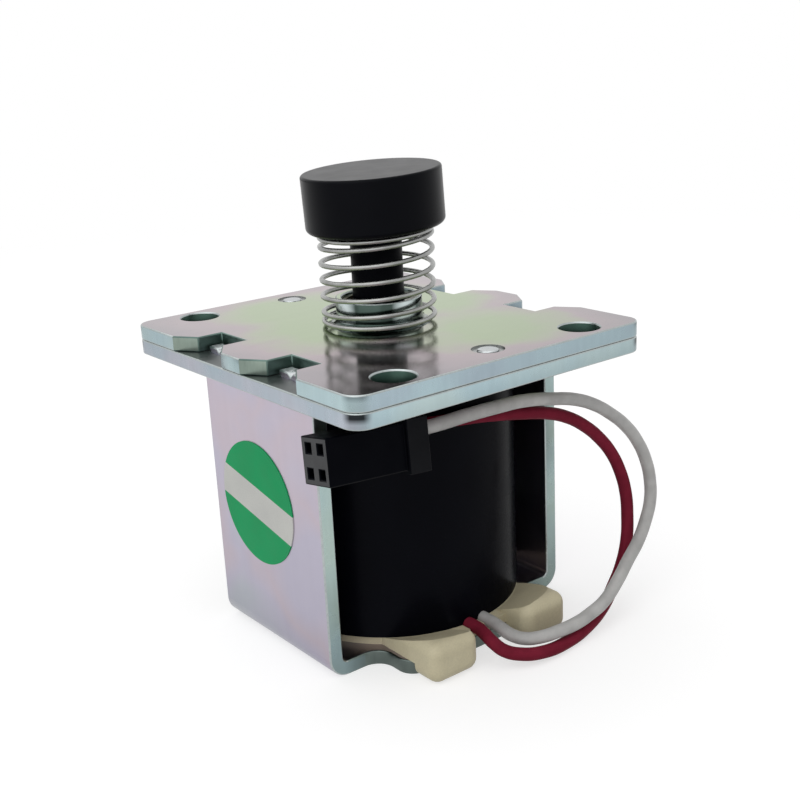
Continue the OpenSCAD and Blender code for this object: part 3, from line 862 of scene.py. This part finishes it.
softened(
    "flange_plate", "zinc_flange", PLATE_ROUND,
    [flange_zinc, flange_edge, worn_edge, bore_shade, collar_painted_reflection, flare_zinc, groove_zinc,
     notch_shade],
    flange_face, flange_bend, at_rim,
)
softened(
    "pole_plate", "zinc_pole", PLATE_ROUND,
    [pole_zinc, pole_edge, worn_edge, bore_shade, notch_floor_shade], pole_face, pole_bend, at_rim,
)
softened("plate_rivets", "rivet_steel", RIVET_ROUND, [rivet_bright])
softened(
    "yoke_frame", "zinc_yoke", YOKE_ROUND,
    [yoke_zinc, yoke_edge, worn_edge, tenon_bright, base_edge_shade], yoke_face, yoke_bend,
)

# Coil and bobbin

dress("bobbin", bobbin_nylon)
dress("coil_wrap", film_black)
dress("coil_winding", copper_turns)

# Magnet core, plunger and disc

dress("guide_tube", tube_drawn)
dress("tube_seal", seal_rubber)
dress("fixed_core", core_turned)
dress("residual_shim", shim_rolled)
dress("plunger", plunger_turned)
dress("stem", stem_plastic)
dress("valve_disc", disc_rubber)


# Return spring

def spring_rise(turn):
    """Height of the wire above its lower end: closed end turns, even pitch between."""
    step = SPRING_WIRE + SPRING_TOUCH
    height = SPRING_HIGH - SPRING_LOW
    end = SPRING_CLOSED * step
    if turn < SPRING_CLOSED:
        return turn * step
    if turn > SPRING_TURNS - SPRING_CLOSED:
        return height - (SPRING_TURNS - turn) * step
    share = (turn - SPRING_CLOSED) / (SPRING_TURNS - 2 * SPRING_CLOSED)
    return end + share * (height - 2 * end)


def spring_point(turn):
    """A point on the wire's middle line, which leans with the disc towards the top."""
    radius = (SPRING_D - SPRING_WIRE) / 2
    angle = 2 * math.pi * turn
    x = radius * math.cos(angle)
    rise = spring_rise(turn)
    lean = rise / (DISC_PIVOT_Z - SPRING_LOW) * x * math.tan(DISC_LEAN)
    return Vector((x, radius * math.sin(angle), SPRING_LOW + rise + lean)) * MM


def return_spring():
    """Round wire wound along the spring's points, with flat ends."""
    count = math.ceil(SPRING_TURNS * SPRING_STEPS)
    points = [spring_point(SPRING_TURNS * i / count) for i in range(count + 1)]
    radius = SPRING_WIRE / 2 * MM
    bm = bmesh.new()
    rings = []
    for i, point in enumerate(points):
        ahead = (points[min(i + 1, count)] - points[max(i - 1, 0)]).normalized()
        side = ahead.cross(Vector((0, 0, 1))).normalized()
        over = side.cross(ahead)
        ring = []
        for k in range(SPRING_SIDES):
            angle = 2 * math.pi * k / SPRING_SIDES
            out = math.cos(angle) * side + math.sin(angle) * over
            ring.append(bm.verts.new(point + radius * out))
        rings.append(ring)
    for first, second in zip(rings, rings[1:]):
        for k in range(SPRING_SIDES):
            n = (k + 1) % SPRING_SIDES
            bm.faces.new((first[k], first[n], second[n], second[k]))
    bm.faces.new(rings[0][::-1])
    bm.faces.new(rings[-1])
    bmesh.ops.recalc_face_normals(bm, faces=bm.faces)
    for face in bm.faces:
        face.smooth = len(face.verts) == 4
    mesh = bpy.data.meshes.new("return_spring_wire")
    bm.to_mesh(mesh)
    bm.free()
    made = piece(
        "return_spring_wire", mesh, "valve_body", "spring_steel", "return_spring", spring_bright,
    )
    # The spring follows the low side of the leaning disc, so that it never cuts into it
    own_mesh(made)


return_spring()


# Sticker

def sticker():
    """A round sticker cut into a pale band between two green segments."""
    low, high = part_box("inspection_sticker")
    centre = (low + high) / 2
    radius = (high.y - low.y) / 2
    along = Vector((0, -math.cos(BAND_FALL), -math.sin(BAND_FALL)))
    across = Vector((0, -math.sin(BAND_FALL), math.cos(BAND_FALL)))
    half = math.asin(BAND_W / 2 * MM / radius)
    ends = [-half, half, math.pi - half, math.pi + half, 2 * math.pi - half]
    bm = bmesh.new()

    def arcs(x):
        """The rim at one depth: right, upper, left and lower arc, which share their ends."""
        middle = Vector((x, centre.y, centre.z))
        ring = []
        for start, end in zip(ends, ends[1:]):
            for i in range(STICKER_STEPS):
                angle = start + (end - start) * i / STICKER_STEPS
                out = math.cos(angle) * along + math.sin(angle) * across
                ring.append(bm.verts.new(middle + radius * out))
        ring.append(ring[0])
        return [ring[k:k + STICKER_STEPS + 1] for k in range(0, len(ring) - 1, STICKER_STEPS)]

    back, front = arcs(high.x), arcs(low.x)
    for right, upper, left, lower in (back, front):
        for outline, index in ((upper, GREEN), (lower, GREEN), (left + right, PALE)):
            bm.faces.new(outline).material_index = index
    for inner, outer, index in zip(back, front, (PALE, GREEN, PALE, GREEN)):
        for corners in zip(inner, inner[1:], outer[1:], outer):
            bm.faces.new(corners).material_index = index
    bmesh.ops.recalc_face_normals(bm, faces=bm.faces)
    mesh = bpy.data.meshes.new("inspection_sticker_print")
    bm.to_mesh(mesh)
    bm.free()
    piece(
        "inspection_sticker_print", mesh, "valve_body", "green_sticker", "inspection_sticker",
        vinyl_green, vinyl_pale,
    )


sticker()


# Floor, background and light

# Sizes in metres. The floor is one grey to light that falls on it, and another, with a
# glow, to the eye
FLOOR_HALF = 3.0
SHADOW_REACH = (0.06, 0.30)
PAPER_GREY = (0.62, 0.62, 0.62, 1)
SHADOW_GREY = (0.5, 0.5, 0.5, 1)
FLOOR_GLOW = 0.62
WHITE = (1, 1, 1, 1)
WORLD_LIGHT = 0.55

# Lamps: place and size in metres, and watts
SOFTBOXES = {
    "softbox_top": ((-0.12, 0.1, 0.55), 0.95, 1.85),
    "softbox_left": ((-0.5, -0.25, 0.25), 0.75, 1.0),
}


def seen_share(tree):
    """1 for rays from the camera and for those that a mirror or glass sends on, otherwise 0."""
    path = tree.nodes.new("ShaderNodeLightPath")
    total = path.outputs["Is Camera Ray"]
    for name in ("Is Glossy Ray", "Is Transmission Ray"):
        node = tree.nodes.new("ShaderNodeMath")
        node.operation = "MAXIMUM"
        tree.links.new(total, node.inputs[0])
        tree.links.new(path.outputs[name], node.inputs[1])
        total = node.outputs["Value"]
    return total


def make_floor():
    """A pale floor that keeps a soft shadow and melts into the white background."""
    z = cad_low.z
    mesh = bpy.data.meshes.new("floor")
    corners = [(-FLOOR_HALF, -FLOOR_HALF, z), (FLOOR_HALF, -FLOOR_HALF, z),
               (FLOOR_HALF, FLOOR_HALF, z), (-FLOOR_HALF, FLOOR_HALF, z)]
    mesh.from_pydata(corners, [], [(0, 1, 2, 3)])
    floor = put("floor", mesh)
    material = bpy.data.materials.new("floor_paper")
    material.use_nodes = True
    tree = material.node_tree
    tree.nodes.remove(tree.nodes["Principled BSDF"])
    paper = tree.nodes.new("ShaderNodeBsdfDiffuse")
    paper.inputs["Color"].default_value = PAPER_GREY
    shadowed = tree.nodes.new("ShaderNodeBsdfDiffuse")
    shadowed.inputs["Color"].default_value = SHADOW_GREY
    glow = tree.nodes.new("ShaderNodeEmission")
    glow.inputs["Strength"].default_value = FLOOR_GLOW
    near = tree.nodes.new("ShaderNodeAddShader")
    tree.links.new(shadowed.outputs["BSDF"], near.inputs[0])
    tree.links.new(glow.outputs["Emission"], near.inputs[1])
    white = tree.nodes.new("ShaderNodeEmission")
    place = tree.nodes.new("ShaderNodeNewGeometry")
    length = tree.nodes.new("ShaderNodeVectorMath")
    length.operation = "LENGTH"
    tree.links.new(place.outputs["Position"], length.inputs[0])
    far = tree.nodes.new("ShaderNodeMapRange")
    far.inputs["From Min"].default_value, far.inputs["From Max"].default_value = SHADOW_REACH
    tree.links.new(length.outputs["Value"], far.inputs["Value"])
    seen = tree.nodes.new("ShaderNodeMixShader")
    tree.links.new(far.outputs["Result"], seen.inputs["Fac"])
    tree.links.new(near.outputs["Shader"], seen.inputs[1])
    tree.links.new(white.outputs["Emission"], seen.inputs[2])
    mix = tree.nodes.new("ShaderNodeMixShader")
    tree.links.new(seen_share(tree), mix.inputs["Fac"])
    tree.links.new(paper.outputs["BSDF"], mix.inputs[1])
    tree.links.new(seen.outputs["Shader"], mix.inputs[2])
    tree.links.new(mix.outputs["Shader"], tree.nodes["Material Output"].inputs["Surface"])
    mesh.materials.append(material)


def make_world():
    """White to the camera and in reflections, and an even soft light on everything."""
    world = bpy.data.worlds.new("studio")
    bpy.context.scene.world = world
    world.use_nodes = True
    tree = world.node_tree
    light = tree.nodes["Background"]
    light.inputs["Color"].default_value = WHITE
    light.inputs["Strength"].default_value = WORLD_LIGHT
    white = tree.nodes.new("ShaderNodeBackground")
    white.inputs["Color"].default_value = WHITE
    mix = tree.nodes.new("ShaderNodeMixShader")
    tree.links.new(seen_share(tree), mix.inputs["Fac"])
    tree.links.new(light.outputs["Background"], mix.inputs[1])
    tree.links.new(white.outputs["Background"], mix.inputs[2])
    tree.links.new(mix.outputs["Shader"], tree.nodes["World Output"].inputs["Surface"])


def softbox(name, place, size, watts):
    """A square lamp at a place in metres that looks at the part's middle."""
    data = bpy.data.lights.new(name, "AREA")
    data.shape = "SQUARE"
    data.size = size
    data.energy = watts
    lamp = put(name, data)
    lamp.location = place
    middle = (cad_low + cad_high) / 2
    lamp.rotation_mode = "QUATERNION"
    lamp.rotation_quaternion = (middle - Vector(place)).to_track_quat("-Z", "Y")


make_floor()
make_world()
for name, (place, size, watts) in SOFTBOXES.items():
    softbox(name, place, size, watts)

bpy.context.scene.view_settings.view_transform = "Standard"
